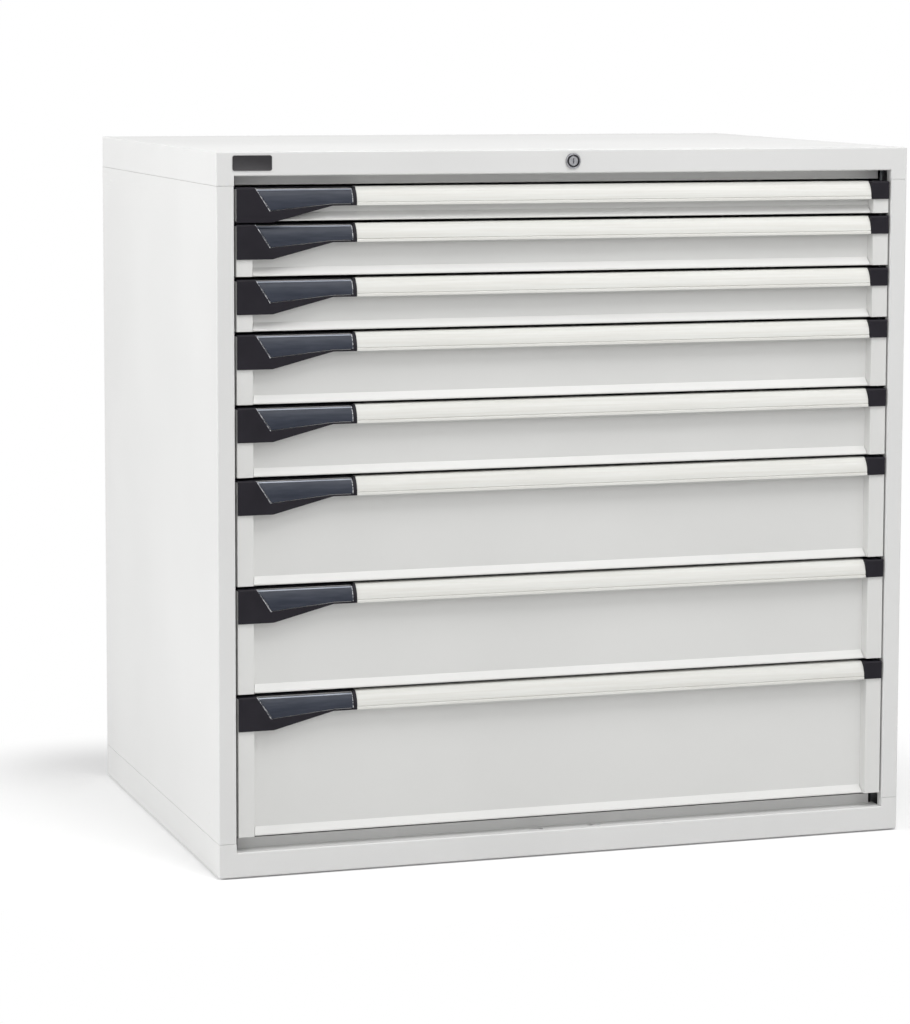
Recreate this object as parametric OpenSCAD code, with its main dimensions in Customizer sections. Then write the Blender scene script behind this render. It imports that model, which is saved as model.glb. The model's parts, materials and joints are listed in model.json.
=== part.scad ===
// Steel cabinet with eight full-extension drawers for microscope slides and other flat stock.
// Units are millimetres. X is the width, Y the depth and Z the height.
// The origin lies at floor level under the middle of the housing, and the drawers open towards -Y.
// Depths named d are counted back from the front face of the housing.

/* [Housing] */
// Overall width of the housing
housing_w = 1023; // [900:1:1300]
// Overall depth of the housing
housing_d = 725; // [600:1:900]
// Thickness of the housing sheet
sheet_t = 1.5; // [1:0.1:2]
// Width of each front post
post_w = 25; // [22:0.5:40]
// Depth of the inner fold of each front post
post_return_d = 14; // [8:0.5:18]
// Height of the skirt of the top cover
top_skirt_h = 46; // [42:0.5:48]
// Height of the front rail of the top cover
top_rail_h = 33; // [31:0.5:36]
// Height of the skirt of the base pan
base_skirt_h = 47.5; // [40:0.5:49]
// Height of the front rail of the base pan
base_rail_h = 35; // [25:0.5:38]
// Depth of the ledge behind each front rail
ledge_d = 30; // [29:0.5:32]
// Height from the floor to the foot of the lowest drawer space
stack_z = 51.2; // [51:0.1:60]
// Height from the highest drawer space to the top of the housing
head_h = 48.8; // [48.5:0.1:60]

/* [Drawers] */
// Height of the space of drawer 1, the highest
drawer_1_h = 50; // [50:25:200]
// Height of the space of drawer 2
drawer_2_h = 75; // [50:25:200]
// Height of the space of drawer 3
drawer_3_h = 75; // [50:25:200]
// Height of the space of drawer 4
drawer_4_h = 100; // [50:25:200]
// Height of the space of drawer 5
drawer_5_h = 100; // [50:25:200]
// Height of the space of drawer 6
drawer_6_h = 150; // [50:25:300]
// Height of the space of drawer 7
drawer_7_h = 150; // [50:25:300]
// Height of the space of drawer 8, the lowest
drawer_8_h = 200; // [50:25:400]
// Gap between two drawer fronts
front_gap = 2.4; // [1.5:0.1:2.5]
// Gap between a drawer front and a post
side_gap = 3.5; // [2:0.5:5]
// Thickness of the drawer sheet
tray_t = 1.2; // [0.8:0.1:1.5]
// Depth of the boxed drawer front
front_d = 24; // [22:0.5:25]
// Free depth behind the closed drawers
rear_space = 87.8; // [60:0.1:150]
// Width of the flat strip at each end of a drawer front
fin_w = 22.5; // [18:0.5:25]
// How far the flat strips lie behind the housing front
fin_set = 2.5; // [2.5:0.1:4]
// How far the panel of a drawer front lies behind the housing front
panel_set = 15; // [15:0.5:18]
// Height of the sloping lip under the panel
lip_h = 13.5; // [8:0.5:16]
// How far the sloping lip reaches forward of the panel
lip_reach = 7; // [3:0.5:9]
// Grid unit of the drawer interior
grid_unit = 17; // [15:1:20]

/* [Handle] */
// Height of the handle strip
strip_h = 25.5; // [25:0.1:26]
// Wall of the handle strip
strip_t = 2; // [1.5:0.1:2.5]
// Outer radius of the curved face of the handle strip
strip_r = 26.65; // [26:0.05:27]
// Width of the grip at the left end
grip_w = 169.5; // [150:0.5:200]
// Height of the deep end of the grip
grip_h = 47.5; // [44:0.1:47.5]
// Wall of the grip and of the end cap
grip_t = 2.2; // [1.8:0.1:2.2]
// Width of the end cap at the right end
cap_w = 26.5; // [24:0.1:26.5]
// Diameter of the hinge pin of the release lever
lever_pin_dia = 3; // [2:0.1:3.4]

/* [Slides] */
// Outer height of a slide rail
slide_h = 36; // [28:0.5:36]
// Sheet thickness of a slide rail
slide_t = 1.5; // [1:0.1:2]
// Width of a slide roller
roller_w = 8.4; // [6:0.1:10]
// Thickness of the moving bar between the rails
bar_t = 2.5; // [2:0.1:4]
// Height of the moving bar
bar_h = 24; // [16:0.5:28]

/* [Lock] */
// Height of the lock centre below the top of the housing
lock_drop = 16; // [15.5:0.1:16.5]
// Outer diameter of the lock rim
lock_rim_dia = 22; // [20:0.5:24]
// Diameter of the turning lock plug
lock_plug_dia = 13; // [10:0.1:14]
// Travel of the lock link and of the lock bar
lock_travel = 8; // [6:0.5:9]

/* [Fixings] */
// Diameter of the four fixing holes in the base
base_hole_dia = 11; // [8:0.5:14]
// Distance from the housing sides to the fixing holes
base_hole_inset = 60; // [50:1:100]

/* [Hidden] */
$fn = 64;
pitches = [drawer_1_h, drawer_2_h, drawer_3_h, drawer_4_h, drawer_5_h, drawer_6_h, drawer_7_h, drawer_8_h];
drawer_parts = ["tray", "handle", "grip", "latch", "end_cap", "carriage"];
housing_nodes = ["side_panel_left", "side_panel_right", "top_cover", "base_pan", "back_panel", "uprights",
    "cabinet_guides", "badge_plate", "lock_barrel", "lock_plug", "lock_link", "lock_bar"];

// Overrun of every cut, and the clearances between pieces
overrun = 1;
seam_gap = 0.5;
fit_gap = 0.2;
rest_gap = 0.3;
swing_gap = 0.5;

// Heights of the drawer spaces, from the lowest line up
function pitch_below(i) = i >= len(pitches) ? 0 : pitches[i] + pitch_below(i + 1);
function line_z(i) = stack_z + pitch_below(i + 1);
function top_z(i) = line_z(i) + pitches[i];
last = len(pitches) - 1;

// Housing
housing_h = stack_z + pitch_below(0) + head_h;
half_w = housing_w / 2;
front_y = -housing_d / 2;
post_x = half_w - post_w;
inner_x = half_w - sheet_t;
tab_x = inner_x - sheet_t;
seam_lo = base_skirt_h;
seam_hi = housing_h - top_skirt_h;
rail_z = housing_h - top_rail_h;
tab_h = 10;
lip_gap = 2;
ledge_end_gap = 8;
rear_flange_w = 25;

// Sill slots and their places
sill_slot_d = 16;
sill_slot_x = 38;
sill_slot_end = 53;
sill_hole_dia = 8.5;
sill_slot_w = 4;

// Uprights that carry the slide rails
upright_w = 40;
upright_front_d = 37;
upright_rear_gap = 40;
upright_slot = 8;
upright_pitch = 50;
upright_depths = [upright_front_d, housing_d - upright_rear_gap - upright_w];

// Slides, counted inward from the uprights
roller_gap = 1;
roller_rest = 0.3;
roller_inset = 6;
axle_dia = 7;
slide_front_gap = 3;
slide_front_d = front_d + slide_front_gap;
slide_rear_gap = 38;
slide_rear_d = housing_d - slide_rear_gap;
slide_lift = 6;
member_w = slide_t + roller_gap + roller_w + roller_gap / 2;
bar_u = slide_t + 2 * roller_gap + roller_w;
slide_w = 2 * bar_u + bar_t;
roller_r = slide_h / 2 - slide_t - roller_rest;
bar_end_gap = 3;

// Drawer tray
tray_x = post_x - slide_w;
tray_inner_x = tray_x - tray_t;
tray_rear_d = housing_d - rear_space;
tray_inner_d = tray_rear_d - tray_t - front_d;
travel_short = 2;
travel = tray_inner_d - travel_short;
floor_lift = 6;
wall_drop = 8;
slot_w = 3;
slot_margin = 8;
slot_pitch = 2 * grid_unit;
slot_count = floor((tray_inner_d - 2 * slot_pitch) / slot_pitch);

// Drawer front
front_x = post_x - side_gap;
recess_slant = 3;
panel_x = front_x - fin_w - recess_slant;
lip_edge_h = 2;
lip_notch = 1.5;

// Handle strip, measured back from the front and down from the top of its drawer front
strip_lip_h = 4;
strip_lip_step = 0.6;
curve_h = strip_h - strip_lip_h;
curve_d = strip_r + strip_lip_step;
strip_start_x = -front_x + grip_w + fit_gap;
strip_end_x = front_x - cap_w - fit_gap;

// Grip, measured from the left end and down from the top of its drawer front
block_w = 26.5;
diag_foot = 47;
diag_drop = 32;
taper_foot = 50;
taper_run_end = 34;
taper_end = grip_w - taper_run_end;
rib_w = 4.5;
rib_wall = 2;
border = 2.2;
grip_back_d = panel_set - fit_gap;
edge_chamfer = 1.6;
diag_slope = (diag_foot - block_w) / diag_drop;

// Release lever in the grip
lever_axis_gap = 3.6;
lever_axis_d = panel_set - lever_axis_gap;
lever_axis_drop = 6;
lever_pin_gap = 0.08;
lever_knuckle_t = 1.5;
lever_knuckle_r = lever_pin_dia / 2 + lever_knuckle_t;
lever_knuckle_w = 5;
lever_knuckle_inset = 6;
lever_knuckle_xs = [diag_foot + lever_knuckle_inset, grip_w - rib_w - lever_knuckle_inset - lever_knuckle_w];
lever_swing_gap = 1.9;

// Cap at the right end
cap_wall_w = 1.7;
cap_wall_d = 10.8;

// Lock
lock_z = housing_h - lock_drop;
lock_rim_t = 1.6;
lock_face_t = 1.2;
lock_face_step = 1.8;
lock_face_dia = lock_rim_dia - 2 * lock_face_step;
lock_body_step = 1.5;
lock_body_dia = lock_rim_dia - 2 * lock_body_step;
lock_body_d = 19;
lock_hole_gap = 0.2;
lock_plug_gap = 0.08;
lock_plug_set = 0.6;
lock_nut_dia = 27;
lock_nut_t = 4;
key_slot_w = 1.8;
key_slot_h = 8;
key_slot_d = 6;
cam_disc_dia = 18;
cam_disc_t = 2;
cam_pin_dia = 3;
cam_pin_d = 5;
cam_angle = 45;
cam_r = lock_travel / (2 * sin(cam_angle));
link_gap = 2;
link_d = lock_body_d + cam_disc_t + link_gap;
link_t = 3;
link_h = 12;
link_head_w = 24;
link_slot_gap = 0.5;
link_end_w = 21;
link_z = rail_z + sheet_t + rest_gap;
link_head_h = 25;
lock_bar_t = 2;
lock_bar_w = 12;
lock_bar_d = upright_front_d - rest_gap - lock_bar_t;
lock_bar_inset = 1;
lock_bar_x = post_x + lock_bar_inset;
lock_bar_foot = 9;
lock_bar_head = 15;
lock_pin_dia = 5;
lock_pin_lift = 6.5;
lock_pin_x = lock_bar_x + lock_bar_w / 2;
lock_pin_z = link_z + lock_pin_lift;
bar_notch_w = 6;
bar_notch_h = 12;
bar_notch_lift = 20;

// Badge plate, left plain
badge_w = 55;
badge_h = 21;
badge_t = 1;
badge_r = 3;
badge_left = 23;
badge_drop = 5;

// A box between two limits in x, depth and z
module block(x, d, z) {
    translate([x[0], front_y + d[0], z[0]])
        cube([x[1] - x[0], d[1] - d[0], z[1] - z[0]]);
}

// Sweeps an outline drawn in depth and height along x
module along_x(x) {
    translate([x[0], front_y, 0])
        rotate([90, 0, 90])
            linear_extrude(x[1] - x[0])
                children();
}

// Sweeps an outline drawn in x and height through a range of depths
module through_depth(d) {
    translate([0, front_y + d[1], 0])
        rotate([90, 0, 0])
            linear_extrude(d[1] - d[0])
                children();
}

// Sweeps an outline drawn in x and depth upwards
module upwards(z) {
    translate([0, front_y, z[0]])
        linear_extrude(z[1] - z[0])
            children();
}

module both_sides() {
    children();
    mirror([1, 0, 0])
        children();
}

// A round bar along y at x and z, over a range of depths
module rod_y(x, z, r, d) {
    translate([x, front_y + d[1], z])
        rotate([90, 0, 0])
            cylinder(r = r, h = d[1] - d[0]);
}

// Half of the housing: one side sheet folded round the front and the back, with set-in tabs at its ends
module side_panel() {
    sheet_z = [seam_lo + seam_gap, seam_hi - seam_gap];
    block([inner_x, half_w], [0, housing_d], sheet_z);
    block([post_x, half_w], [0, sheet_t], sheet_z);
    block([half_w - rear_flange_w, half_w], [housing_d - sheet_t, housing_d], sheet_z);
    for (z = [seam_lo, seam_hi]) {
        block([tab_x, inner_x], [sheet_t, housing_d - sheet_t], [z - tab_h, z + tab_h]);
        block([post_x, inner_x], [sheet_t, 2 * sheet_t], [z - tab_h, z + tab_h]);
    }
    block([post_x, post_x + sheet_t], [sheet_t, post_return_d], [base_rail_h, rail_z]);
}

module side_panel_left() {
    color("gainsboro")
        mirror([1, 0, 0])
            side_panel();
}

module side_panel_right() {
    color("gainsboro")
        side_panel();
}

// Skirt of the top cover or base pan, with its front folded into a rail, a ledge and a lip
module pan_skirt(skirt, rail, ledge, lip) {
    both_sides()
        block([inner_x, half_w], [0, housing_d], skirt);
    both_sides()
        block([half_w - rear_flange_w, half_w], [housing_d - sheet_t, housing_d], skirt);
    both_sides()
        block([post_x, half_w], [0, sheet_t], skirt);
    block([-half_w, half_w], [0, sheet_t], rail);
    block([-post_x, post_x], [0, ledge_d], ledge);
    block([ledge_end_gap - post_x, post_x - ledge_end_gap], [ledge_d - sheet_t, ledge_d], lip);
}

module top_cover() {
    color("whitesmoke")
        difference() {
            union() {
                block([-half_w, half_w], [0, housing_d], [housing_h - sheet_t, housing_h]);
                pan_skirt([seam_hi, housing_h], [rail_z, housing_h], [rail_z, rail_z + sheet_t],
                    [seam_hi, rail_z + sheet_t]);
            }
            rod_y(0, lock_z, lock_body_dia / 2 + lock_hole_gap, [-overrun, sheet_t + overrun]);
        }
}

// One keyhole slot through the sill, its round end towards the middle
module sill_slot() {
    translate([sill_slot_x, front_y + sill_slot_d, base_rail_h - sheet_t - overrun])
        cylinder(d = sill_hole_dia, h = sheet_t + 2 * overrun);
    block([sill_slot_x, sill_slot_end], [sill_slot_d - sill_slot_w / 2, sill_slot_d + sill_slot_w / 2],
        [base_rail_h - sheet_t - overrun, base_rail_h + overrun]);
    translate([sill_slot_end, front_y + sill_slot_d, base_rail_h - sheet_t - overrun])
        cylinder(d = sill_slot_w, h = sheet_t + 2 * overrun);
}

module base_pan() {
    hole_x = half_w - base_hole_inset;
    hole_y = housing_d / 2 - base_hole_inset;
    color("lightgray")
        difference() {
            union() {
                block([-half_w, half_w], [0, housing_d], [0, sheet_t]);
                block([-half_w, half_w], [housing_d - sheet_t, housing_d], [0, seam_lo]);
                pan_skirt([0, seam_lo], [0, base_rail_h], [base_rail_h - sheet_t, base_rail_h],
                    [base_rail_h - sheet_t, stack_z - lip_gap]);
            }
            both_sides()
                sill_slot();
            for (x = [-hole_x, hole_x], y = [-hole_y, hole_y])
                translate([x, y, -overrun])
                    cylinder(d = base_hole_dia, h = sheet_t + 2 * overrun);
        }
}

// Set in behind the rear flanges, from inside the base pan's rear wall up to the top sheet
module back_panel() {
    color("lightgray")
        block([-tab_x, tab_x], [housing_d - 2 * sheet_t, housing_d - sheet_t],
            [seam_lo - tab_h, housing_h - sheet_t]);
}

// Slotted post that stands between the side sheet and the slide rails
module upright(d) {
    z = [sheet_t, housing_h - sheet_t];
    rows = floor((z[1] - z[0] - upright_pitch) / upright_pitch);
    difference() {
        block([post_x, post_x + sheet_t], [d, d + upright_w], z);
        for (k = [1:rows])
            block([post_x - overrun, post_x + sheet_t + overrun],
                [d + upright_w / 2 - upright_slot / 2, d + upright_w / 2 + upright_slot / 2],
                [k * upright_pitch, k * upright_pitch + upright_slot]);
    }
    block([post_x, tab_x], [d, d + sheet_t], z);
    block([post_x, tab_x], [d + upright_w - sheet_t, d + upright_w], z);
}

module uprights() {
    color("silver")
        both_sides()
            for (d = upright_depths)
                upright(d);
}

// Channel of a slide, with its web at web_x, open towards open_x
module slide_channel(web_x, open_x, d, z) {
    way = sign(open_x - web_x);
    web_end = web_x + way * slide_t;
    block([min(web_x, web_end), max(web_x, web_end)], d, z);
    for (low = [z[0], z[1] - slide_t])
        block([min(web_x, open_x), max(web_x, open_x)], d, [low, low + slide_t]);
}

function slide_z(i) = [line_z(i) + slide_lift, line_z(i) + slide_lift + slide_h];

module cabinet_guides() {
    color("silver")
        both_sides()
            for (i = [0:last]) {
                slide_channel(post_x, post_x - member_w, [slide_front_d, slide_rear_d], slide_z(i));
                block([post_x - member_w, post_x], [slide_rear_d - slide_t, slide_rear_d], slide_z(i));
            }
}

// Moving bar of one slide with two rollers on each face
module slide_bar(i) {
    mid_z = line_z(i) + slide_lift + slide_h / 2;
    bar_x = post_x - bar_u - bar_t;
    outer_x = post_x - slide_t - roller_gap - roller_w;
    inner_x0 = tray_x + slide_t + roller_gap;
    half_travel = travel / 2;
    outer_ds = [slide_front_d + half_travel + roller_r + roller_inset, slide_rear_d - slide_t - roller_r - roller_inset];
    inner_ds = [slide_front_d + roller_r + roller_inset, tray_rear_d - half_travel - roller_r - roller_inset];
    block([bar_x, bar_x + bar_t], [slide_front_d, slide_rear_d - bar_end_gap],
        [mid_z - bar_h / 2, mid_z + bar_h / 2]);
    for (d = outer_ds) {
        roller(outer_x, d, mid_z);
        axle([bar_x, outer_x + roller_w], d, mid_z);
    }
    for (d = inner_ds) {
        roller(inner_x0, d, mid_z);
        axle([inner_x0, bar_x + bar_t], d, mid_z);
    }
}

module roller(x, d, z) {
    translate([x, front_y + d, z])
        rotate([0, 90, 0])
            cylinder(r = roller_r, h = roller_w);
}

module axle(x, d, z) {
    translate([x[0], front_y + d, z])
        rotate([0, 90, 0])
            cylinder(d = axle_dia, h = x[1] - x[0]);
}

module drawer_carriage(i) {
    color("dimgray")
        both_sides()
            slide_bar(i);
}

// Outline of the folded drawer front seen from above, shifted in by the sheet thickness
function front_half_line(t) = [
    [front_x - t, front_d - tray_t],
    [front_x - t, fin_set + t],
    [front_x - fin_w + t, fin_set + t],
    [panel_x + t, panel_set + t]];
function mirrored(points) = [for (k = [len(points) - 1:-1:0]) [-points[k][0], points[k][1]]];
function front_line(t) = concat(front_half_line(t), mirrored(front_half_line(t)));
function reversed(points) = [for (k = [len(points) - 1:-1:0]) points[k]];

// End post of the drawer front seen from above
function fin_outline() = concat(front_half_line(0), [[panel_x, front_d - tray_t]]);

// Sloping lip under the panel, drawn in depth and height
module lip_section() {
    lip_d = panel_set - lip_reach;
    polygon([
        [panel_set, lip_h], [lip_d, lip_edge_h], [lip_d, 0], [front_d - tray_t, 0],
        [front_d - tray_t, tray_t], [lip_d + tray_t, tray_t], [lip_d + tray_t, lip_edge_h],
        [panel_set + tray_t, lip_h]]);
}

module drawer_front(i) {
    foot_z = line_z(i) + front_gap;
    head_z = top_z(i) - strip_t;
    difference() {
        upwards([foot_z, head_z])
            polygon(concat(front_line(0), reversed(front_line(tray_t))));
        block([lip_notch - panel_x, panel_x - lip_notch], [0, front_d], [foot_z - overrun, foot_z + lip_h]);
    }
    upwards([head_z - tray_t, head_z])
        polygon(front_line(0));
    both_sides()
        upwards([foot_z, foot_z + tray_t])
            polygon(fin_outline());
    translate([0, 0, foot_z])
        along_x([lip_notch - panel_x, panel_x - lip_notch])
            lip_section();
    block([-front_x, front_x], [front_d - tray_t, front_d], [foot_z, head_z]);
}

module tray_wall(i) {
    floor_z = line_z(i) + floor_lift;
    wall_z = top_z(i) - wall_drop;
    difference() {
        block([tray_inner_x, tray_x], [front_d - tray_t, tray_rear_d], [floor_z, wall_z]);
        for (k = [1:slot_count])
            block([tray_inner_x - overrun, tray_x + overrun],
                [front_d + k * slot_pitch, front_d + k * slot_pitch + slot_w],
                [floor_z + slot_margin, wall_z - slot_margin]);
    }
    slide_channel(tray_x, tray_x + member_w, [slide_front_d, tray_rear_d], slide_z(i));
}

module drawer_tray(i) {
    floor_z = line_z(i) + floor_lift;
    wall_z = top_z(i) - wall_drop;
    color("lightgray") {
        drawer_front(i);
        block([-tray_x, tray_x], [front_d - tray_t, tray_rear_d], [floor_z, floor_z + tray_t]);
        block([-tray_x, tray_x], [tray_rear_d - tray_t, tray_rear_d], [floor_z, wall_z]);
        both_sides()
            tray_wall(i);
    }
}

// Part of a circle in front of the curve centre and above the straight lip
module curve_sector(r) {
    intersection() {
        translate([curve_d, -curve_h])
            circle(r = r);
        translate([0, -curve_h])
            square([panel_set, curve_h]);
    }
}

// Curved skin of the handle, drawn in depth and height below the top
module curved_skin() {
    difference() {
        curve_sector(strip_r);
        translate([curve_d, -curve_h])
            circle(r = strip_r - strip_t);
    }
}

module handle_section() {
    curved_skin();
    translate([0, -strip_h])
        square([strip_lip_step + strip_t, strip_lip_h]);
    translate([panel_set - strip_t, -strip_t])
        square([front_d - panel_set + strip_t, strip_t]);
}

module drawer_handle(i) {
    color("ivory")
        translate([0, 0, top_z(i)])
            along_x([strip_start_x, strip_end_x])
                handle_section();
}

// Left end of the grip as x, with u counted to the right
function grip_x(u) = u - front_x;

// Places of the slanting window edge at a drop below the top
function diag_x(drop) = grip_x(block_w + diag_slope * drop);

// Front view of the grip
function grip_outline() = [
    [grip_x(0), 0], [grip_x(0), -grip_h], [grip_x(taper_foot), -grip_h],
    [grip_x(taper_end), -strip_h], [grip_x(grip_w), -strip_h], [grip_x(grip_w), 0]];

// Front view of the lever, grown by g on each side
function lever_outline(g) = [
    [diag_x(-overrun) - g, overrun],
    [diag_x(diag_drop) - g, -diag_drop - g],
    [grip_x(taper_end), border - strip_h - g],
    [grip_x(grip_w - rib_w) + g, border - strip_h - g],
    [grip_x(grip_w - rib_w) + g, overrun]];

// Chamfer along the top front edge, drawn in depth and height
module chamfer_cut() {
    polygon([[-overrun, overrun], [edge_chamfer + overrun, overrun], [-overrun, -edge_chamfer - overrun]]);
}

module drawer_grip(i) {
    color("#37343a")
        translate([0, 0, top_z(i)]) {
            difference() {
                union() {
                    through_depth([0, grip_t])
                        polygon(grip_outline());
                    through_depth([grip_t, grip_back_d])
                        polygon([[diag_x(0), 0], [diag_x(0), -diag_drop], [diag_x(diag_drop), -diag_drop]]);
                    block([grip_x(0), diag_x(0)], [0, front_d], [-strip_t, 0]);
                }
                through_depth([-overrun, front_d])
                    polygon(lever_outline(0));
                block([grip_x(grip_w - rib_w - overrun), grip_x(grip_w + overrun)], [-overrun, front_d],
                    [-strip_h + border, overrun]);
                along_x([grip_x(-overrun), grip_x(grip_w + overrun)])
                    chamfer_cut();
            }
            grip_rib();
            block([diag_x(0), grip_x(grip_w)], [panel_set + fit_gap, front_d], [-strip_t, 0]);
            axle_x([diag_x(0), grip_x(grip_w - rib_w + rib_wall)]);
        }
}

// Raised end rib of the grip, with the inner wall that holds the hinge pin
module grip_rib() {
    along_x([grip_x(grip_w - rib_w), grip_x(grip_w)])
        difference() {
            union() {
                curve_sector(strip_r + strip_lip_step);
                translate([0, -strip_h])
                    square([panel_set, strip_lip_h]);
            }
            translate([curve_d, -curve_h])
                circle(r = strip_r - strip_t);
            translate([strip_t + strip_lip_step, -strip_h - overrun])
                square([panel_set, strip_lip_h + overrun]);
        }
    along_x([grip_x(grip_w - rib_w), grip_x(grip_w - rib_w + rib_wall)])
        intersection() {
            union() {
                curve_sector(strip_r);
                translate([strip_lip_step, -strip_h])
                    square([panel_set, strip_lip_h]);
            }
            translate([0, -strip_h])
                square([grip_back_d, strip_h]);
        }
    block([grip_x(grip_w - rib_w), grip_x(grip_w)], [panel_set - strip_t, panel_set + strip_t], [-strip_t, 0]);
}

// Hinge pin of the lever
module axle_x(x) {
    translate([x[0], front_y + lever_axis_d, -lever_axis_drop])
        rotate([0, 90, 0])
            cylinder(d = lever_pin_dia, h = x[1] - x[0]);
}

// Knuckle of the lever with its bore and its web to the curved skin
module lever_knuckle(u) {
    x = grip_x(u);
    translate([x, front_y + lever_axis_d, -lever_axis_drop])
        rotate([0, 90, 0])
            cylinder(r = lever_knuckle_r, h = lever_knuckle_w);
    block([x, x + lever_knuckle_w], [lever_axis_d - lever_knuckle_r, lever_axis_d],
        [-lever_axis_drop - lever_knuckle_r, -lever_axis_drop + lever_knuckle_r]);
}

module drawer_latch(i) {
    bore_r = lever_pin_dia / 2 + lever_pin_gap;
    color("#3c4350")
        translate([0, 0, top_z(i)])
            difference() {
                union() {
                    intersection() {
                        through_depth([0, panel_set - lever_swing_gap])
                            polygon(lever_outline(-swing_gap));
                        along_x([grip_x(0), grip_x(grip_w)]) {
                            curved_skin();
                            translate([strip_lip_step, -diag_drop - overrun])
                                square([strip_t, diag_drop + overrun - curve_h]);
                        }
                    }
                    for (u = lever_knuckle_xs)
                        lever_knuckle(u);
                }
                block([-front_x, front_x], [0, front_d], [-swing_gap, overrun]);
                translate([grip_x(0), front_y + lever_axis_d, -lever_axis_drop])
                    rotate([0, 90, 0])
                        cylinder(r = bore_r, h = grip_w);
            }
}

module drawer_end_cap(i) {
    left_x = front_x - cap_w;
    color("#37343a")
        translate([0, 0, top_z(i)])
            difference() {
                union() {
                    block([left_x, front_x], [0, grip_t], [-strip_h, 0]);
                    block([left_x, front_x], [0, front_d], [-strip_t, 0]);
                    block([left_x, left_x + cap_wall_w], [0, cap_wall_d], [-strip_h, 0]);
                }
                along_x([left_x - overrun, front_x + overrun])
                    chamfer_cut();
            }
}

module badge_plate() {
    x = [badge_left - half_w, badge_left - half_w + badge_w];
    z = [housing_h - badge_drop - badge_h, housing_h - badge_drop];
    color("#353336") {
        block([x[0] + badge_r, x[1] - badge_r], [-badge_t, 0], z);
        block(x, [-badge_t, 0], [z[0] + badge_r, z[1] - badge_r]);
        for (cx = [x[0] + badge_r, x[1] - badge_r], cz = [z[0] + badge_r, z[1] - badge_r])
            rod_y(cx, cz, badge_r, [-badge_t, 0]);
    }
}

module lock_barrel() {
    color("silver")
        difference() {
            union() {
                rod_y(0, lock_z, lock_face_dia / 2, [-lock_rim_t - lock_face_t, 0]);
                rod_y(0, lock_z, lock_rim_dia / 2, [-lock_rim_t, 0]);
                rod_y(0, lock_z, lock_body_dia / 2, [-overrun, lock_body_d]);
                translate([0, front_y + sheet_t + lock_nut_t, lock_z])
                    rotate([90, 0, 0])
                        cylinder(d = lock_nut_dia, h = lock_nut_t, $fn = 6);
            }
            rod_y(0, lock_z, lock_plug_dia / 2 + lock_plug_gap, [-lock_rim_t - lock_face_t - overrun,
                lock_body_d + overrun]);
        }
}

// Plug with its key slot, rear disc and off-centre pin
module lock_plug() {
    face_d = lock_plug_set - lock_rim_t - lock_face_t;
    disc_d = lock_body_d + rest_gap;
    color("lightsteelblue")
        difference() {
            union() {
                rod_y(0, lock_z, lock_plug_dia / 2, [face_d, disc_d]);
                rod_y(0, lock_z, cam_disc_dia / 2, [disc_d, disc_d + cam_disc_t]);
                rod_y(-cam_r * sin(cam_angle), lock_z + cam_r * cos(cam_angle), cam_pin_dia / 2,
                    [disc_d, disc_d + cam_disc_t + cam_pin_d]);
            }
            block([-key_slot_w / 2, key_slot_w / 2], [face_d - overrun, face_d + key_slot_d],
                [lock_z - key_slot_h / 2, lock_z + key_slot_h / 2]);
        }
}

// Flat bar that the lock plug pushes sideways along the ledge of the top cover
module lock_link() {
    end_x = [lock_pin_x - link_end_w + lock_pin_dia, lock_pin_x + lock_pin_dia];
    pin_x = -cam_r * sin(cam_angle);
    slot_w = cam_pin_dia + 2 * link_slot_gap;
    slot_z = [lock_z, lock_z + cam_r + cam_pin_dia / 2 + link_slot_gap];
    slant_r = lock_pin_dia / 2 + link_slot_gap;
    slant = lock_travel * sqrt(2);
    color("darkgray")
        difference() {
            union() {
                block([pin_x - link_head_w / 2, pin_x + link_head_w / 2], [link_d, link_d + link_t],
                    [link_z, link_z + link_head_h]);
                block([pin_x, end_x[1]], [link_d, link_d + link_t], [link_z, link_z + link_h]);
                block(end_x, [link_d, link_d + link_t], [link_z, link_z + link_head_h]);
            }
            block([pin_x - slot_w / 2, pin_x + slot_w / 2], [link_d - overrun, link_d + link_t + overrun], slot_z);
            translate([lock_pin_x, front_y + link_d - overrun, lock_pin_z])
                rotate([0, -cam_angle, 0])
                    translate([-slant_r, 0, -slant_r])
                        cube([2 * slant_r, link_t + 2 * overrun, slant + 2 * slant_r]);
        }
}

// Upright bar beside the slides, with a notch for each drawer and the pin in the slanting slot
module lock_bar() {
    x = [lock_bar_x, lock_bar_x + lock_bar_w];
    d = [lock_bar_d, lock_bar_d + lock_bar_t];
    color("darkgray") {
        difference() {
            block(x, d, [stack_z + lock_bar_foot, housing_h - lock_bar_head]);
            for (i = [0:last])
                block([x[0] - overrun, x[0] + bar_notch_w], [d[0] - overrun, d[1] + overrun],
                    [line_z(i) + bar_notch_lift, line_z(i) + bar_notch_lift + bar_notch_h]);
        }
        rod_y(lock_pin_x, lock_pin_z, lock_pin_dia / 2, [link_d - rest_gap, lock_bar_d + lock_bar_t]);
    }
}

side_panel_left();
side_panel_right();
top_cover();
base_pan();
back_panel();
uprights();
cabinet_guides();
badge_plate();
lock_barrel();
lock_plug();
lock_link();
lock_bar();
for (i = [0:last]) {
    drawer_tray(i);
    drawer_handle(i);
    drawer_grip(i);
    drawer_latch(i);
    drawer_end_cap(i);
    drawer_carriage(i);
}
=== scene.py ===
import itertools
import json
import math

import bpy
from mathutils import Matrix, Vector


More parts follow.
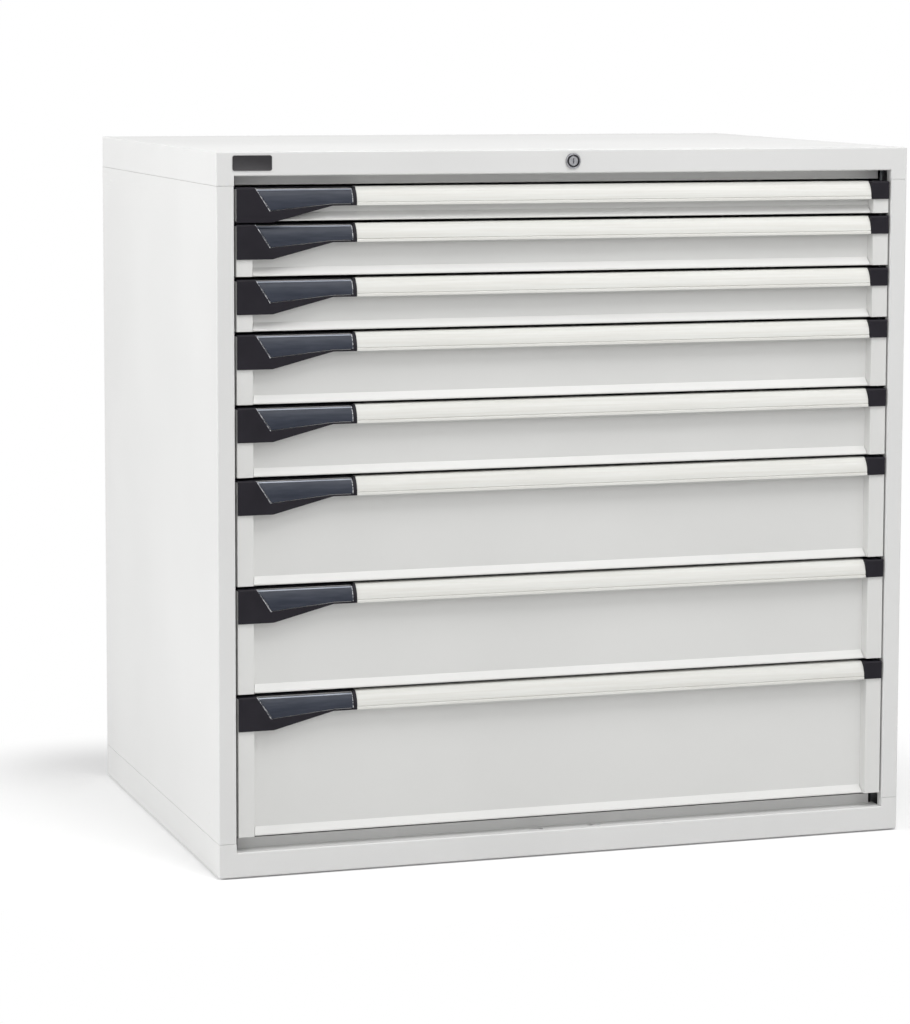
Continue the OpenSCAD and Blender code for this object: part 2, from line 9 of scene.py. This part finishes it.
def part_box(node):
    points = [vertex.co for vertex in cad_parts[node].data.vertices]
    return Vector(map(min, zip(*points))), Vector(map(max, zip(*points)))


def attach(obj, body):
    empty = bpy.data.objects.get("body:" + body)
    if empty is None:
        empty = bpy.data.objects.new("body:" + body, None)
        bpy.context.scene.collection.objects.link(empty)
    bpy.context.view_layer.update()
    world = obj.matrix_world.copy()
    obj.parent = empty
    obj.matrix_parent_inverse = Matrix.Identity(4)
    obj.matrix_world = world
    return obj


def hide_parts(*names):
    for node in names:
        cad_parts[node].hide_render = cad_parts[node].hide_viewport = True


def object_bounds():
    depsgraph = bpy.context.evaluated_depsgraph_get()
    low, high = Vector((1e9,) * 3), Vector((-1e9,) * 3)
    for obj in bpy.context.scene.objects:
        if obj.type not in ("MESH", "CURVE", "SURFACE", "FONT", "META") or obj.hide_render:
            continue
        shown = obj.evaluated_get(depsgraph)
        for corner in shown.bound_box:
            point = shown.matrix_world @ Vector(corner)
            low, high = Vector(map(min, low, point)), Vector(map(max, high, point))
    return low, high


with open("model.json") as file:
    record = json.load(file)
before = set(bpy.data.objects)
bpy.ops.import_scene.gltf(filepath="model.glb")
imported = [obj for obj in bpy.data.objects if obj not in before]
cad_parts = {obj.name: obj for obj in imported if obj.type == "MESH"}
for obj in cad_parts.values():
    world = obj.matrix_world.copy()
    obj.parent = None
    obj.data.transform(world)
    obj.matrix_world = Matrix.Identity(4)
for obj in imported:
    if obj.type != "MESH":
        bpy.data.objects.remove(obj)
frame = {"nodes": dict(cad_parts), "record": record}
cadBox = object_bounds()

# Steel drawer cabinet with eight drawers, dressed over its CAD solids.
# Lengths are written in millimetres, and mm turns them to metres. Colours are sRGB hex.
mm = 0.001
samePlace = 0.1  # two places closer than this count as one
angles = {"flat": 0.5, "sharp": 20, "bevelled": 30, "smooth": 40}  # degrees
drawers = [f"drawer_{n}" for n in range(1, 9)]
behaviour = frame["record"]["behaviour"]
bodyOf = {node: body for body, nodes in behaviour["bodies"].items() for node in nodes}
slotOf = {part["node"]: part["material_slot"] for part in frame["record"]["subparts"]}
print("frame loaded:", len(frame["nodes"]), "nodes")


# Modelling helpers

def edges(node):
    # The box of a CAD node in millimetres
    low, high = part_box(node)
    return low / mm, high / mm


def addObject(name, data):
    thing = bpy.data.objects.new(name, data)
    bpy.context.scene.collection.objects.link(thing)
    return thing


def selectOnly(piece):
    bpy.ops.object.select_all(action="DESELECT")
    piece.select_set(True)
    bpy.context.view_layer.objects.active = piece


def pick(piece, mode, test):
    # Leaves the piece in edit mode with the vertices or faces selected whose place passes the test
    selectOnly(piece)
    bpy.ops.object.mode_set(mode="EDIT")
    bpy.ops.mesh.select_mode(type=mode)
    bpy.ops.mesh.select_all(action="DESELECT")
    bpy.ops.object.mode_set(mode="OBJECT")
    if mode == "VERT":
        for vertex in piece.data.vertices:
            vertex.select = test(vertex.co / mm)
    else:
        for face in piece.data.polygons:
            face.select = test(face.center / mm, face.normal)
    bpy.ops.object.mode_set(mode="EDIT")


def moveWhere(piece, shift, test):
    pick(piece, "VERT", test)
    bpy.ops.transform.translate(value=Vector(shift) * mm)
    bpy.ops.object.mode_set(mode="OBJECT")


def paintWhere(piece, material, test):
    piece.data.materials.append(material)
    index = len(piece.data.materials) - 1
    for face in piece.data.polygons:
        if test(face.center / mm, face.normal):
            face.material_index = index


def cutPlane(piece, place, way, trim=False):
    # Adds a loop of edges all round, square to a direction, and can take off what lies beyond it
    selectOnly(piece)
    bpy.ops.object.mode_set(mode="EDIT")
    bpy.ops.mesh.select_all(action="SELECT")
    bpy.ops.mesh.bisect(plane_co=Vector(place) * mm, plane_no=way, use_fill=trim, clear_outer=trim)
    bpy.ops.object.mode_set(mode="OBJECT")


def sinkFaces(piece, border, deep, test):
    # Leaves a border round the chosen faces and pushes what is inside it back
    pick(piece, "FACE", test)
    bpy.ops.mesh.inset(thickness=border * mm, depth=0)
    bpy.ops.transform.translate(value=(0, deep * mm, 0))
    bpy.ops.object.mode_set(mode="OBJECT")


def copyNode(node):
    # A copy of a CAD node as whole faces instead of loose triangles
    piece = addObject(node + "_dressed", frame["nodes"][node].data.copy())
    selectOnly(piece)
    bpy.ops.object.mode_set(mode="EDIT")
    bpy.ops.mesh.select_all(action="SELECT")
    bpy.ops.mesh.remove_doubles(threshold=0.001 * mm)
    bpy.ops.mesh.customdata_custom_splitnormals_clear()
    bpy.ops.mesh.dissolve_limited(angle_limit=math.radians(angles["flat"]))
    bpy.ops.object.mode_set(mode="OBJECT")
    return piece


def applyBevel(piece, width, limit, segments=3):
    selectOnly(piece)
    bpy.ops.object.shade_smooth()
    bevel = piece.modifiers.new("soft edges", "BEVEL")
    bevel.width, bevel.segments, bevel.limit_method = width * mm, segments, limit
    bevel.angle_limit = math.radians(angles["bevelled"])
    bevel.harden_normals, bevel.use_clamp_overlap = True, False
    bpy.ops.object.modifier_apply(modifier=bevel.name)


def edgeEnds(mesh, edge):
    return [mesh.vertices[v].co for v in edge.vertices]


def inwardWay(mesh, face, edge):
    # Direction of the edge in the face's own order, and the direction from it into the face
    order = list(face.vertices)
    first, second = edge.vertices
    if order[(order.index(first) + 1) % len(order)] != second:
        first, second = second, first
    along = (mesh.vertices[second].co - mesh.vertices[first].co).normalized()
    return along, face.normal.cross(along)


touching = {"reach": 0.01, "span": 0.0001}  # in millimetres, edges that come closer than this don't count


def widthAt(mesh, face, edge):
    # How wide the face is, measured from the middle of the edge
    along, inward = inwardWay(mesh, face, edge)
    middle = sum(edgeEnds(mesh, edge), Vector()) / 2
    width = math.inf
    for key in face.edge_keys:
        a, b = (mesh.vertices[v].co - middle for v in key)
        ax, bx, ay, by = a.dot(along), b.dot(along), a.dot(inward), b.dot(inward)
        if ax * bx <= 0 and abs(ax - bx) > touching["span"] * mm:
            reach = ay + (by - ay) * ax / (ax - bx)
            if reach > touching["reach"] * mm:
                width = min(width, reach)
    return width


def softenEdges(piece, widest, widthOf):
    # Bevels each sharp edge by the width that widthOf gives for its two faces
    mesh = piece.data
    facesOf = {}
    for face in mesh.polygons:
        for key in face.edge_keys:
            facesOf.setdefault(key, []).append(face)
    weights = mesh.attributes.new("bevel_weight_edge", "FLOAT", "EDGE")
    for edge in mesh.edges:
        face, other = facesOf[edge.key]
        if face.normal.angle(other.normal) > math.radians(angles["sharp"]):
            weights.data[edge.index].value = widthOf(edge, face, other) / widest
    applyBevel(piece, widest, "WEIGHT")


def softenSheet(piece, sheet):
    # Folds get the bend radius of the sheet, and cut edges a small break
    mesh = piece.data

    def widthOf(edge, face, other):
        first, second = edgeEnds(mesh, edge)
        narrow = min((first - second).length, widthAt(mesh, face, edge), widthAt(mesh, other, edge))
        if narrow < sheet["narrow"] * mm:
            return sheet["cut"]
        along, inward = inwardWay(mesh, face, edge)
        isOutside = face.normal.cross(other.normal).dot(along) > 0
        return sheet["bend"] if isOutside else sheet["inner"]

    softenEdges(piece, sheet["bend"], widthOf)


def dress(piece, node):
    # Puts a finished piece in the place of its CAD node
    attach(piece, bodyOf[node])
    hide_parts(node)


def dressAll(part, first):
    # The piece of the highest drawer, and a copy of it with its own mesh on each other drawer
    top = edges("drawer_1_" + part)[1].z
    for drawer in drawers[1:]:
        node = f"{drawer}_{part}"
        piece = addObject(node + "_dressed", first.data.copy())
        piece.data.transform(Matrix.Translation((0, 0, (edges(node)[1].z - top) * mm)))
        dress(piece, node)
    dress(first, "drawer_1_" + part)


# Materials

def linear(hexColour):
    channels = [int(hexColour[k:k + 2], 16) / 255 for k in (1, 3, 5)]
    return (*[c / 12.92 if c <= 0.04045 else ((c + 0.055) / 1.055) ** 2.4 for c in channels], 1.0)


def addNode(tree, kind, settings, links):
    # Adds a node, sets its values and properties, and links its inputs to the outputs of other nodes
    node = tree.nodes.new(kind)
    for name, value in settings.items():
        if isinstance(name, int) or name in node.inputs:
            node.inputs[name].default_value = value
        else:
            setattr(node, name, value)
    for name, (source, output) in links.items():
        tree.links.new(source.outputs[output], node.inputs[name])
    return node


def newTree(owner):
    owner.use_nodes = True
    owner.node_tree.nodes.clear()
    return owner.node_tree


def surface(name, look):
    # Two tones in a slow pattern, and a fine grain that moves the gloss and the relief
    material = bpy.data.materials.new(name)
    tree = newTree(material)
    place = addNode(tree, "ShaderNodeTexCoord", {}, {})
    stretched = addNode(tree, "ShaderNodeMapping", {"Scale": (look.get("stretch", 1.0), 1.0, 1.0)},
                        {"Vector": (place, "Object")})
    where = {"Vector": (stretched, "Vector")}
    if "spangle" in look:
        pattern, tone = "ShaderNodeTexVoronoi", "Color"
    else:
        pattern, tone = "ShaderNodeTexNoise", "Fac"
    patches = addNode(tree, pattern, {"Scale": 1 / (look.get("spangle", look.get("cloud")) * mm)}, where)
    tint = addNode(tree, "ShaderNodeValToRGB", {}, {"Fac": (patches, tone)})
    low, high = tint.color_ramp.elements
    low.position, high.position = look.get("spread", (0.35, 0.65))
    low.color, high.color = linear(look["deep"]), linear(look["pale"])
    grain = addNode(tree, "ShaderNodeTexNoise", {"Scale": 1 / (look["grain"] * mm), "Detail": 3.0}, where)
    gloss = addNode(tree, "ShaderNodeMapRange", {"To Min": look["rough"][0], "To Max": look["rough"][1]},
                    {"Value": (grain, "Fac")})
    relief = addNode(tree, "ShaderNodeBump", {"Strength": 0.3, "Distance": look["relief"] * mm},
                     {"Height": (grain, "Fac")})
    skin = addNode(tree, "ShaderNodeBsdfPrincipled", look.get("shader", {}),
                   {"Base Color": (tint, "Color"), "Roughness": (gloss, "Result"),
                    "Normal": (relief, "Normal")})
    addNode(tree, "ShaderNodeOutputMaterial", {}, {"Surface": (skin, "BSDF")})
    return material


# In each look, pale and deep are the two tones, and cloud, spangle, grain and relief are in millimetres

# Powder paint baked on steel: an even semi-matt pale grey. Its orange peel is drawn three times as coarse as
# the real one.
housingPaint = {"pale": "#e0e0df", "deep": "#dcdcdb", "cloud": 350, "grain": 3.0, "relief": 0.05,
                "rough": (0.38, 0.5)}
drawerPaint = {"pale": "#dededc", "deep": "#dadad8", "cloud": 300, "grain": 3.0, "relief": 0.05,
               "rough": (0.4, 0.52)}
# Drawn aluminium with a smooth cream coat: a soft sheen with faint lines along its length
stripCoat = {"pale": "#e3e3df", "deep": "#dddcd7", "stretch": 0.02, "cloud": 3.0, "grain": 1.2,
             "relief": 0.02, "rough": (0.45, 0.6), "shader": {"Specular IOR Level": 0.15}}
# Injection-moulded ABS: the block has the mould's spark-eroded grain, the lever is polished and faintly
# streaked
gripPlastic = {"pale": "#242228", "deep": "#1f1d23", "cloud": 40, "grain": 0.8, "relief": 0.05,
               "rough": (0.5, 0.62), "shader": {"Specular IOR Level": 0.15}}
leverPlastic = {"pale": "#393d48", "deep": "#2c313c", "stretch": 0.12, "spread": (0.3, 0.7), "cloud": 4,
                "grain": 1.5, "relief": 0.02, "rough": (0.38, 0.5), "shader": {"Specular IOR Level": 0.2}}
# Painted highlight along the upper edge of the lever, and on its other edges pale scuffs in short streaks
# with painted highlight
paintedHighlightLook = {"pale": "#a3a9b5", "deep": "#858c9a", "stretch": 0.1, "cloud": 6, "grain": 1.0,
                 "relief": 0.01, "rough": (0.3, 0.4)}
scuffsAndHighlightLook = {"pale": "#d6d7da", "deep": "#3a3d48", "spread": (0.4, 0.6), "cloud": 2.6, "grain": 0.8,
            "relief": 0.03, "rough": (0.3, 0.5)}
# Smooth dark plastic of the nameplate, and the duller nylon of the rollers
badgePlastic = {"pale": "#2b292c", "deep": "#272528", "cloud": 30, "grain": 1.0, "relief": 0.01,
                "rough": (0.28, 0.38)}
rollerNylon = {"pale": "#3c3c3e", "deep": "#303032", "cloud": 30, "grain": 0.6, "relief": 0.01,
               "rough": (0.35, 0.45)}
# Hot-dip galvanised sheet with its crystal spangle, and bright zinc plating that is nearly even
galvanised = {"pale": "#c9ccce", "deep": "#b2b6b9", "spangle": 7.0, "spread": (0.1, 0.9), "grain": 1.5,
              "relief": 0.02, "rough": (0.34, 0.48), "shader": {"Metallic": 1.0}}
brightZinc = {"pale": "#cfd2d6", "deep": "#c2c6cb", "spangle": 14.0, "spread": (0.1, 0.9), "grain": 1.0,
              "relief": 0.01, "rough": (0.26, 0.36), "shader": {"Metallic": 1.0}}
# Nickel plated zinc casting of the lock, with painted shade in its groove and on the faces that turn away
# from the front
lockNickel = {"pale": "#c9c9cd", "deep": "#b0b0b5", "cloud": 6.0, "grain": 0.8, "relief": 0.005,
              "rough": (0.16, 0.24), "shader": {"Metallic": 1.0}}
lockShade = {"pale": "#343436", "deep": "#262628", "cloud": 6.0, "grain": 0.8, "relief": 0.01,
             "rough": (0.3, 0.4), "shader": {"Metallic": 1.0}}
finishes = {
    "housing_enamel": surface("powder coated housing steel", housingPaint),
    "drawer_enamel": surface("powder coated drawer steel", drawerPaint),
    "handle_strip": surface("cream coated drawn aluminium", stripCoat),
    "grip_plastic": surface("grained black ABS", gripPlastic),
    "lever_plastic": surface("polished blue-black ABS", leverPlastic),
    "badge_plastic": surface("plain dark badge plastic", badgePlastic),
    "slide_steel": surface("bright zinc plated steel", brightZinc),
    "zinc_steel": surface("galvanised steel", galvanised),
    "lock_chrome": surface("nickel plated zinc casting", lockNickel),
}
paintedHighlight = surface("painted highlight on the upper edge of the lever", paintedHighlightLook)
scuffsAndHighlight = surface("scuffed edge of moulded ABS with painted highlight", scuffsAndHighlightLook)
nylon = surface("moulded roller nylon", rollerNylon)
paintedLockShade = surface("painted shade in the lock's recesses", lockShade)
for node, piece in frame["nodes"].items():
    piece.data.materials.clear()
    piece.data.materials.append(finishes[slotOf[node]])
print("materials made:", len(bpy.data.materials))

# Housing: folded sheet with soft bends, and weld dimples in its sides. Edges of strips narrower than narrow
# count as cut. Depths are measured back from the front, heights up from the floor.
housingSheet = {"bend": 2.0, "inner": 1.2, "cut": 0.2, "narrow": 3.2}
dimple = {"across": 3.6, "deep": 0.7, "depths": (57, 665), "heights": (69, 81, 922.5, 934)}


def dimpleCutter():
    # Balls that stand a little way into both sides of the housing
    radius = (dimple["across"] ** 2 / 4 + dimple["deep"] ** 2) / (2 * dimple["deep"])
    low, high = edges("side_panel_left")[0], edges("side_panel_right")[1]
    sides = (low.x - radius + dimple["deep"], high.x + radius - dimple["deep"])
    balls = []
    bpy.ops.object.select_all(action="DESELECT")
    for x, depth, height in itertools.product(sides, dimple["depths"], dimple["heights"]):
        bpy.ops.mesh.primitive_uv_sphere_add(segments=32, ring_count=16, radius=radius * mm,
                                             location=(x * mm, (low.y + depth) * mm, height * mm))
        balls.append(bpy.context.object)
    for ball in balls:
        ball.select_set(True)
    bpy.ops.object.join()
    return bpy.context.object


def pressDimples(piece, cutter):
    selectOnly(piece)
    cut = piece.modifiers.new("dimples", "BOOLEAN")
    cut.operation, cut.object, cut.solver = "DIFFERENCE", cutter, "EXACT"
    bpy.ops.object.modifier_apply(modifier=cut.name)
    bpy.ops.object.shade_smooth_by_angle(angle=math.radians(angles["smooth"]))
    even = piece.modifiers.new("flat faces stay flat", "WEIGHTED_NORMAL")
    even.keep_sharp = True
    bpy.ops.object.modifier_apply(modifier=even.name)


frontY = edges("side_panel_left")[0].y
cutter = dimpleCutter()
for node in ("top_cover", "base_pan", "side_panel_left", "side_panel_right", "back_panel"):
    piece = copyNode(node)
    softenSheet(piece, housingSheet)
    if node.startswith("side_panel"):
        pressDimples(piece, cutter)
    dress(piece, node)
bpy.data.objects.remove(cutter)
print("housing made")

# Drawers: each tray with its own folded front. The ends of the lip move out to the slanting sides of the
# recess, lipFront before lipDepth and lipBack behind it. What is lower than foot moves up by raise, for the
# dark gap above the next handle. The cut at sideDepth parts the rims of the box from the front, so that the
# bevel can't make them cross themselves.
drawerSheet = {"bend": 0.5, "inner": 0.25, "cut": 0.2, "narrow": 1.7}
front = {"lipEnd": 456, "lipFront": 2.7, "lipBack": 0.6, "lipDepth": 9.5, "rightFin": 1.2,
         "foot": 2.1, "raise": 1.8, "sideDepth": 32}
lipDepthY = frontY + front["lipDepth"]
for drawer in drawers:
    node = drawer + "_tray"
    piece = copyNode(node)
    bottom, finEnd = edges(node)[0].z, edges(node)[1].x
    cutPlane(piece, (0, frontY + front["sideDepth"], 0), (0, 1, 0))
    moveWhere(piece, (0, 0, front["raise"]), lambda p: p.z < bottom + front["foot"])
    for side in (-1, 1):
        end = side * front["lipEnd"]
        moveWhere(piece, (side * front["lipFront"], 0, 0),
                  lambda p: abs(p.x - end) < samePlace and p.y < lipDepthY)
        moveWhere(piece, (side * front["lipBack"], 0, 0),
                  lambda p: abs(p.x - end) < samePlace and p.y > lipDepthY)
    moveWhere(piece, (front["rightFin"], 0, 0), lambda p: p.x > finEnd - samePlace)
    softenSheet(piece, drawerSheet)
    dress(piece, node)
print("drawers made")

# Handle strip: a fine groove where the curve meets the straight lip, and a finer one near its top
strip = {"edge": 0.35, "radius": 26.65, "curveDrop": 21.5, "lipStep": 0.6, "level": 0.02, "skin": 0.3,
         "grooves": ({"drop": 21.5, "half": 0.75, "deep": 1.1}, {"drop": 2.9, "half": 0.6, "deep": 0.3})}
handle = copyNode("drawer_1_handle")
handleTop = edges("drawer_1_handle")[1].z
for groove in strip["grooves"]:
    for drop in (groove["drop"] - groove["half"], groove["drop"], groove["drop"] + groove["half"]):
        cutPlane(handle, (0, 0, handleTop - drop), (0, 0, 1))
    rise = strip["curveDrop"] - groove["drop"]
    skinDepth = strip["lipStep"] + strip["radius"] - math.sqrt(strip["radius"] ** 2 - rise ** 2)
    level, skinY = handleTop - groove["drop"], frontY + skinDepth + strip["skin"]
    moveWhere(handle, (0, groove["deep"], 0), lambda p: abs(p.z - level) < strip["level"] and p.y < skinY)
applyBevel(handle, strip["edge"], "ANGLE")
dressAll("handle", handle)

# Grip, lever and cap: the lever has a painted highlight along its upper edge, and pale scuffs with painted
# highlight along its slanting left side and its right end, as the grip has along its slant. rim holds the
# widths of the softened edges, and lean how far a face has to lean a way to count as facing it.
rim = {"widest": 1.0, "grip": 0.6, "lever": 0.4, "slant": 1.0, "end": 0.8, "foot": 0.5, "gripSlant": 0.9}
lean = {"some": 0.25, "half": 0.5, "most": 0.9}


def leverEdge(edge, face, other):
    normals = (face.normal, other.normal)
    if not any(normal.y < -lean["some"] for normal in normals):
        return 0
    if any(normal.x < -lean["half"] for normal in normals):
        return rim["slant"]
    if any(normal.x > lean["most"] for normal in normals):
        return rim["end"]
    return rim["foot"] if any(normal.z < -lean["most"] for normal in normals) else rim["lever"]


def gripEdge(edge, face, other):
    normals = (face.normal, other.normal)
    isSlant = any(normal.x > lean["half"] and normal.z > lean["some"] for normal in normals)
    isFront = any(normal.y < -lean["most"] for normal in normals)
    return rim["gripSlant"] if isSlant and isFront else rim["grip"]


# The upper edge is taken off by topCut. line, end and slant are the widths of the strips of painted
# highlight.
mark = {"topCut": 2.7, "line": 1.5, "end": 1.3, "slant": 1.0, "slantTop": -456.5, "slantFoot": -436,
        "slantDrop": 32, "skin": 1.0}
slantWay = Vector((mark["slantDrop"], 0, mark["slantFoot"] - mark["slantTop"])).normalized()
slantPlace = Vector((mark["slantTop"], 0, handleTop))
lever = copyNode("drawer_1_latch")
leverEnd = edges("drawer_1_latch")[1].x
leverTop = handleTop - mark["topCut"]
cutPlane(lever, (0, 0, leverTop), (0, 0, 1), trim=True)
lineFoot, endStart = leverTop - mark["line"], leverEnd - mark["end"]
cutPlane(lever, (0, 0, lineFoot), (0, 0, 1))
cutPlane(lever, (endStart, 0, 0), (1, 0, 0))
softenEdges(lever, rim["widest"], leverEdge)
# Painted highlight on the front faces along the upper edge
paintWhere(lever, paintedHighlight, lambda place, normal: place.z > lineFoot and normal.y < -lean["some"])
# Pale scuffs with painted highlight on the front faces of the slanting side and the right end
paintWhere(lever, scuffsAndHighlight, lambda place, normal: normal.y < -lean["some"]
           and (abs(normal.x) > lean["some"] or place.x > endStart))
dressAll("latch", lever)
grip = copyNode("drawer_1_grip")
cutPlane(grip, slantPlace - slantWay * mark["slant"], slantWay)
softenEdges(grip, rim["widest"], gripEdge)
# Pale scuffs with painted highlight along the slanting edge of the grip
paintWhere(grip, scuffsAndHighlight, lambda place, normal: normal.y < -lean["some"]
           and place.z > handleTop - mark["slantDrop"] and place.y < frontY + mark["skin"]
           and -mark["slant"] < (place - slantPlace).dot(slantWay) < mark["slant"])
dressAll("grip", grip)
cap = copyNode("drawer_1_end_cap")
capEnd = edges("drawer_1_end_cap")[1].x
moveWhere(cap, (front["rightFin"], 0, 0), lambda p: p.x > capEnd - samePlace)
applyBevel(cap, rim["grip"], "ANGLE")
dressAll("end_cap", cap)
print("handles, grips, levers and caps made")

# Slide bars: bright steel with nylon rollers on both sides of the bar
barSide = {"inner": 472.0, "outer": 474.7, "edge": 0.3}
carriage = copyNode("drawer_1_carriage")
applyBevel(carriage, barSide["edge"], "ANGLE", 2)
paintWhere(carriage, nylon, lambda place, normal: not barSide["inner"] < abs(place.x) < barSide["outer"])
dressAll("carriage", carriage)
print("slide bars made")

# Lock: rings with a groove round a plug; the groove and the faces that turn from the front get painted shade.
# Its face is the annulus at the front.
lock = {"edge": 0.2, "faceDepth": -2.8, "ring": 0.55, "groove": 0.9}
faceY = frontY + lock["faceDepth"]
grooveY = faceY + lock["groove"]
barrel = copyNode("lock_barrel")
sinkFaces(barrel, lock["ring"], lock["groove"],
          lambda place, normal: normal.y < -lean["most"] and abs(place.y - faceY) < samePlace)
applyBevel(barrel, lock["edge"], "ANGLE")
# Painted shade on the groove and on every face that turns away from the front
paintWhere(barrel, paintedLockShade,
           lambda place, normal: abs(place.y - grooveY) < samePlace or normal.y > -lean["half"])
dress(barrel, "lock_barrel")
plug = copyNode("lock_plug")
applyBevel(plug, lock["edge"], "ANGLE")
dress(plug, "lock_plug")

# Badge: plain plate with a raised rim
badge = {"edge": 0.25, "rim": 0.9, "deep": 0.3}
plate = copyNode("badge_plate")
sinkFaces(plate, badge["rim"], badge["deep"], lambda place, normal: normal.y < -lean["most"])
applyBevel(plate, badge["edge"], "ANGLE", 2)
dress(plate, "badge_plate")
print("lock and badge made")

# Studio: white floor that keeps the shadow, soft lamps and a pale world. The floor's size and the shadow's
# places are in metres.
studio = {"floorSize": 60, "floorDrop": 2.0, "ambient": 0.38, "paper": 0.9, "glow": 0.12, "bounce": "#e8e8e8",
          "shadowStart": 0.09, "shadowEnd": 0.33}
white = linear("#ffffff")


def whiteFloor():
    # Lit like white paper close to the cabinet, and plain white from there outwards. Light that isn't on its
    # way to the camera meets plain paper.
    material = bpy.data.materials.new("white studio floor")
    tree = newTree(material)
    place = addNode(tree, "ShaderNodeTexCoord", {}, {})
    away = addNode(tree, "ShaderNodeVectorMath", {"operation": "ABSOLUTE"}, {0: (place, "Object")})
    half = (cadBox[1][0], cadBox[1][1], 0)
    outside = addNode(tree, "ShaderNodeVectorMath", {"operation": "SUBTRACT", 1: half}, {0: (away, 0)})
    clipped = addNode(tree, "ShaderNodeVectorMath", {"operation": "MAXIMUM"}, {0: (outside, 0)})
    reach = addNode(tree, "ShaderNodeVectorMath", {"operation": "LENGTH"}, {0: (clipped, 0)})
    fade = addNode(tree, "ShaderNodeMapRange",
                   {"interpolation_type": "SMOOTHSTEP", "From Min": studio["shadowStart"],
                    "From Max": studio["shadowEnd"]}, {"Value": (reach, "Value")})
    lit = addNode(tree, "ShaderNodeBsdfDiffuse", {"Color": (*[studio["paper"]] * 3, 1.0)}, {})
    glow = addNode(tree, "ShaderNodeEmission", {"Color": white, "Strength": studio["glow"]}, {})
    near = addNode(tree, "ShaderNodeAddShader", {}, {0: (lit, 0), 1: (glow, 0)})
    far = addNode(tree, "ShaderNodeEmission", {"Color": white, "Strength": 1.0}, {})
    seen = addNode(tree, "ShaderNodeMixShader", {}, {0: (fade, "Result"), 1: (near, 0), 2: (far, 0)})
    paper = addNode(tree, "ShaderNodeBsdfDiffuse", {"Color": linear(studio["bounce"])}, {})
    path = addNode(tree, "ShaderNodeLightPath", {}, {})
    choice = addNode(tree, "ShaderNodeMixShader", {},
                     {0: (path, "Is Camera Ray"), 1: (paper, 0), 2: (seen, 0)})
    addNode(tree, "ShaderNodeOutputMaterial", {}, {"Surface": (choice, 0)})
    return material


bpy.ops.object.select_all(action="DESELECT")
bpy.ops.mesh.primitive_plane_add(size=studio["floorSize"], location=(0, 0, -studio["floorDrop"] * mm))
floor = bpy.context.object
floor.name = "studio_floor"
floor.data.materials.append(whiteFloor())

world = bpy.data.worlds.new("studio world")
bpy.context.scene.world = world
tree = newTree(world)
path = addNode(tree, "ShaderNodeLightPath", {}, {})
mirrored = addNode(tree, "ShaderNodeMath", {"operation": "MAXIMUM"},
                   {0: (path, "Is Glossy Ray"), 1: (path, "Is Transmission Ray")})
seen = addNode(tree, "ShaderNodeMath", {"operation": "MAXIMUM"},
               {0: (path, "Is Camera Ray"), 1: (mirrored, 0)})
ambient = addNode(tree, "ShaderNodeBackground", {"Color": white, "Strength": studio["ambient"]}, {})
backdrop = addNode(tree, "ShaderNodeBackground", {"Color": white, "Strength": 1.0}, {})
choice = addNode(tree, "ShaderNodeMixShader", {}, {0: (seen, 0), 1: (ambient, 0), 2: (backdrop, 0)})
addNode(tree, "ShaderNodeOutputWorld", {}, {"Surface": (choice, 0)})

# Places in metres, powers in watts
lamps = {
    "high front softbox": {"place": (0.4, -1.9, 3.9), "size": 1.6, "power": 57},
    "high right softbox": {"place": (1.9, -1.8, 3.4), "size": 1.6, "power": 21},
    "left softbox": {"place": (-3.3, -0.2, 1.6), "size": 1.8, "power": 63},
    "overhead softbox": {"place": (0.0, -0.2, 4.2), "size": 2.4, "power": 6},
    "front softbox": {"place": (0.5, -3.4, 2.4), "size": 1.6, "power": 20},
}
aim = Vector((0, -0.2, 0.5))
for name, lamp in lamps.items():
    data = bpy.data.lights.new(name, "AREA")
    data.shape, data.size, data.energy = "SQUARE", lamp["size"], lamp["power"]
    light = addObject(name, data)
    light.location = lamp["place"]
    light.rotation_euler = (aim - light.location).to_track_quat("-Z", "Y").to_euler()
print("studio lit")

# Camera fitted to the corners of the housing in the photograph. Angles in degrees, farthest in metres.
view = {"place": (-1651.1, -4950.9, 1157.6), "yaw": 18.6908, "pitch": -6.1578, "roll": 0.2309,
        "lens": 122.706, "sensor": 36, "shiftX": -0.0488, "shiftY": -0.0977, "farthest": 100}
cameraData = bpy.data.cameras.new("photo camera")
cameraData.sensor_width, cameraData.lens = view["sensor"], view["lens"]
cameraData.shift_x, cameraData.shift_y = view["shiftX"], view["shiftY"]
cameraData.clip_end = view["farthest"]
camera = addObject("photo camera", cameraData)
turn = Matrix.Identity(4)
for degrees, axis in ((-view["yaw"], "Z"), (90 + view["pitch"], "X"), (view["roll"], "Z")):
    turn = turn @ Matrix.Rotation(math.radians(degrees), 4, axis)
camera.matrix_world = Matrix.Translation(Vector(view["place"]) * mm) @ turn
bpy.context.scene.camera = camera
bpy.context.scene.view_settings.view_transform = "Standard"
